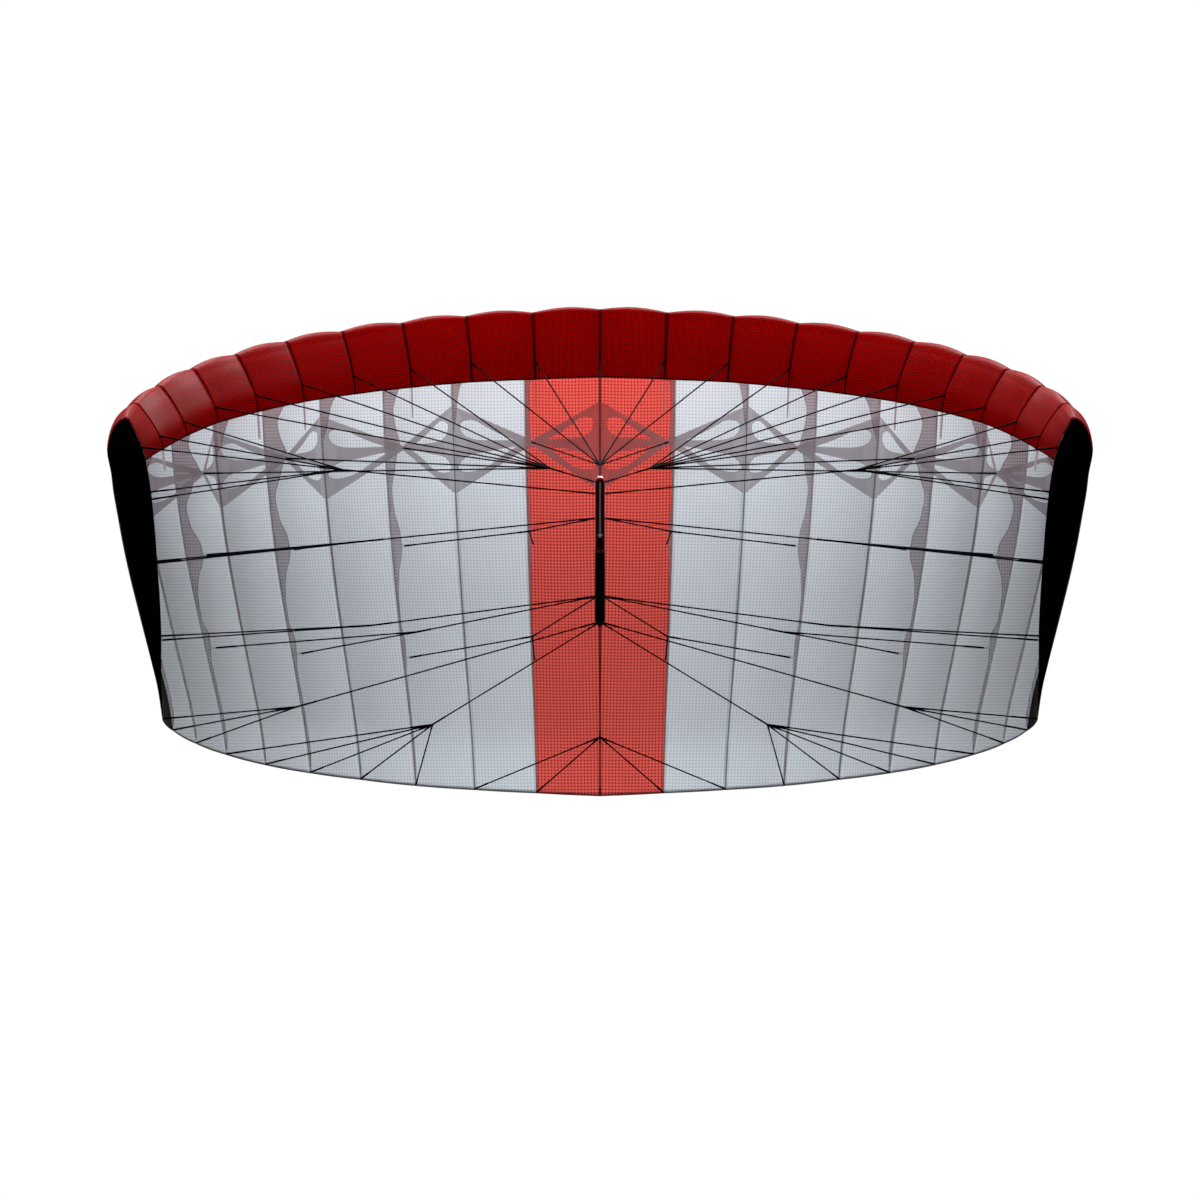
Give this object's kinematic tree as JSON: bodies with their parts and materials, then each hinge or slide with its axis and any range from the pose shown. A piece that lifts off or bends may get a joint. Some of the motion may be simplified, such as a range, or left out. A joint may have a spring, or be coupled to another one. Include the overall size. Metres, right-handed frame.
{
  "type": "parawing",
  "caption": "Hand-held single-skin wing in flight, red nose, white and light red body, black tips, with bridle lines and a straight hand bar.",
  "frame": {"origin": "middle of the bar's grip, on its axis", "axes": "+X to the right tip as the picture shows it, +Y from the bar to the canopy, +Z from the trailing edge to the leading edge"},
  "size_m": [2.4186, 1.7127, 1.2009],
  "materials": {
    "red_cloth": "thin coated ripstop cloth, dark red, slight gloss",
    "salmon_cloth": "thin ripstop cloth, light red where light shines through, darker red grid",
    "white_cloth": "thin white ripstop cloth with a fine grey grid",
    "black_cloth": "thin black ripstop cloth, matte",
    "rib_cloth": "thin grey cloth, slightly see-through",
    "front_line": "thin braided line, black with a dark red cast",
    "rear_line": "thin braided line, dark navy",
    "bar_tube": "anodised dark red, satin",
    "bar_ring": "moulded black plastic",
    "bar_grip": "fine-grained black foam rubber",
    "trim_line": "grey braided line"
  },
  "bodies": {
    "root": {"nose_panel_1": "red_cloth", "nose_panel_2": "red_cloth", "nose_panel_3": "red_cloth", "nose_panel_4": "red_cloth", "nose_panel_5": "red_cloth", "nose_panel_6": "red_cloth", "nose_panel_7": "red_cloth", "nose_panel_8": "red_cloth", "nose_panel_9": "red_cloth", "nose_panel_10": "red_cloth", "upper_tip_left": "black_cloth", "upper_left": "white_cloth", "upper_centre": "salmon_cloth", "upper_right": "white_cloth", "upper_tip_right": "black_cloth", "tip_rib_left": "black_cloth", "loaded_rib_9_left": "rib_cloth", "plain_rib_8_left": "rib_cloth", "loaded_rib_7_left": "rib_cloth", "plain_rib_6_left": "rib_cloth", "loaded_rib_5_left": "rib_cloth", "plain_rib_4_left": "rib_cloth", "loaded_rib_3_left": "rib_cloth", "plain_rib_2_left": "rib_cloth", "loaded_rib_1_left": "rib_cloth", "plain_rib_0": "rib_cloth", "loaded_rib_1_right": "rib_cloth", "plain_rib_2_right": "rib_cloth", "loaded_rib_3_right": "rib_cloth", "plain_rib_4_right": "rib_cloth", "loaded_rib_5_right": "rib_cloth", "plain_rib_6_right": "rib_cloth", "loaded_rib_7_right": "rib_cloth", "plain_rib_8_right": "rib_cloth", "loaded_rib_9_right": "rib_cloth", "tip_rib_right": "black_cloth", "diagonals_9_left": "rib_cloth", "diagonals_7_left": "rib_cloth", "diagonals_5_left": "rib_cloth", "diagonals_3_left": "rib_cloth", "diagonals_1_left": "rib_cloth", "diagonals_1_right": "rib_cloth", "diagonals_3_right": "rib_cloth", "diagonals_5_right": "rib_cloth", "diagonals_7_right": "rib_cloth", "diagonals_9_right": "rib_cloth", "front_lines_centre": "front_line", "front_lines_inner_left": "front_line", "front_lines_inner_right": "front_line", "front_lines_outer_left": "front_line", "front_lines_outer_right": "front_line", "rear_lines": "front_line", "second_lines_left": "rear_line", "second_lines_right": "rear_line", "third_lines_left": "rear_line", "third_lines_right": "rear_line", "bar_tube": "bar_tube", "bar_ring": "bar_ring", "bar_grip": "bar_grip", "trim_line": "trim_line"}
  },
  "joints": []
}
